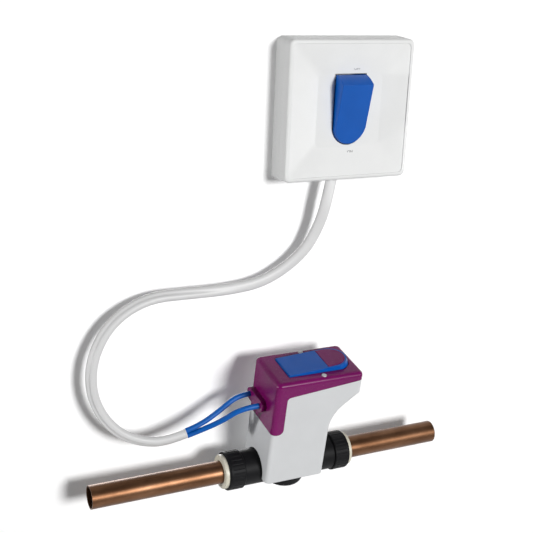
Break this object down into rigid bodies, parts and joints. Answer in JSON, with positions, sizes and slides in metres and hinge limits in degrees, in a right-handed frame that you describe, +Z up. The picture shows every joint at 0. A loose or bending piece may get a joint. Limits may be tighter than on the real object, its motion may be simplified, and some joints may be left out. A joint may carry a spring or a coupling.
{
  "type": "remote water shutoff valve",
  "caption": "Stop valve with push-fit pipe ends, worked by a wall rocker switch through air tubes in a white sheath; copper pipe stubs, purple cover and white shroud.",
  "frame": {"origin": "middle of the switch box's back face, on the wall", "axes": "+Y into the wall, +Z up, +X to the right along the wall and along the pipe"},
  "size_m": [0.2528, 0.0541, 0.2944],
  "materials": {
    "white_switch": "white moulded plastic, semi-gloss",
    "white_case": "white moulded plastic, satin",
    "blue_rocker": "blue moulded plastic, semi-gloss",
    "purple_cover": "purple translucent plastic",
    "white_sheath": "white flexible plastic, satin",
    "blue_tube": "blue flexible tube, satin",
    "black_body": "black moulded plastic, satin",
    "cream_collet": "cream moulded plastic, semi-gloss",
    "copper": "drawn copper, lightly polished",
    "steel": "plain steel",
    "natural_plastic": "natural nylon",
    "black_rubber": "black rubber, matte"
  },
  "bodies": {
    "fixed_parts": {"wall_box": "white_switch", "face_plate": "white_switch", "switch_cradle": "natural_plastic", "switch_pivot_pin": "steel", "cradle_screws": "steel", "switch_bellows_upper": "black_rubber", "switch_bellows_lower": "black_rubber", "switch_nozzle_upper": "natural_plastic", "switch_nozzle_lower": "natural_plastic", "switch_tube_upper": "blue_tube", "switch_tube_lower": "blue_tube", "sheath_inner_end": "white_sheath", "sheath_clamp": "natural_plastic", "clamp_screws": "steel", "conduit_sheath": "white_sheath", "blue_tube_front": "blue_tube", "blue_tube_rear": "blue_tube", "valve_body": "black_body", "inlet_strainer": "steel", "inlet_pipe": "copper", "inlet_o_ring": "black_rubber", "inlet_spacer": "natural_plastic", "inlet_grab_ring": "steel", "outlet_pipe": "copper", "outlet_o_ring": "black_rubber", "outlet_spacer": "natural_plastic", "outlet_grab_ring": "steel", "diaphragm": "black_rubber", "main_spring": "steel", "bonnet": "natural_plastic", "bonnet_screws": "steel", "pilot_block": "natural_plastic", "pilot_spring": "steel", "valve_chassis": "white_case", "valve_pivot_pin": "steel", "chassis_screws": "steel", "valve_bellows_left": "black_rubber", "valve_nozzle_left": "natural_plastic", "valve_bellows_right": "black_rubber", "valve_nozzle_right": "natural_plastic", "valve_tube_left": "blue_tube", "valve_tube_right": "blue_tube", "top_cover": "purple_cover", "shroud": "white_case", "tube_collar": "purple_cover"},
    "switch_paddle": {"switch_rocker": "blue_rocker"},
    "valve_paddle": {"valve_rocker": "blue_rocker", "valve_rocker_pad": "purple_cover"},
    "pilot_plunger": {"pilot_pin": "steel", "pilot_seal": "black_rubber"},
    "closing_member": {"poppet": "natural_plastic", "diaphragm_plate": "natural_plastic"},
    "inlet_cap": {"inlet_nut": "black_body"},
    "outlet_cap": {"outlet_nut": "black_body"},
    "inlet_release": {"inlet_collet": "cream_collet"},
    "outlet_release": {"outlet_collet": "cream_collet"}
  },
  "joints": [
    {"name": "switch_rocker_tilt", "type": "hinge", "parent": "fixed_parts", "child": "switch_paddle", "pos_m": [0, -0.011, 0.0005], "axis": [-1, 0, 0], "range_deg": [0, 26.5], "deforming": ["switch_bellows_upper", "switch_bellows_lower"]},
    {"name": "valve_rocker_tilt", "type": "hinge", "parent": "fixed_parts", "child": "valve_paddle", "pos_m": [-0.0255, -0.03514, -0.16776], "axis": [0, 0.9865, 0.1638], "range_deg": [0, 7], "deforming": ["valve_bellows_left", "valve_bellows_right"]},
    {"name": "pilot_pin_slide", "type": "slide", "parent": "fixed_parts", "child": "pilot_plunger", "axis": [0, -0.1638, 0.9865], "range_m": [0, 0.0009], "deforming": ["pilot_spring"]},
    {"name": "poppet_slide", "type": "slide", "parent": "fixed_parts", "child": "closing_member", "axis": [0, 0.1638, -0.9865], "range_m": [0, 0.0029], "deforming": ["main_spring", "diaphragm"]},
    {"name": "inlet_collet_press", "type": "slide", "parent": "fixed_parts", "child": "inlet_release", "axis": [1, 0, 0], "range_m": [0, 0.0012]},
    {"name": "outlet_collet_press", "type": "slide", "parent": "fixed_parts", "child": "outlet_release", "axis": [-1, 0, 0], "range_m": [0, 0.0012]},
    {"name": "inlet_cap_turn", "type": "hinge", "parent": "fixed_parts", "child": "inlet_cap", "pos_m": [-0.078, -0.024, -0.23484], "axis": [1, 0, 0], "range_deg": [0, 90]},
    {"name": "outlet_cap_turn", "type": "hinge", "parent": "fixed_parts", "child": "outlet_cap", "pos_m": [0.002, -0.024, -0.23484], "axis": [-1, 0, 0], "range_deg": [0, 90]}
  ],
  "couplings": [
    {"joint": "valve_rocker_tilt", "follows": "switch_rocker_tilt", "ratio": 0.26414},
    {"joint": "pilot_pin_slide", "follows": "switch_rocker_tilt", "m_per_rad": 0.0019449},
    {"joint": "poppet_slide", "follows": "switch_rocker_tilt", "m_per_rad": 0.0062691}
  ]
}
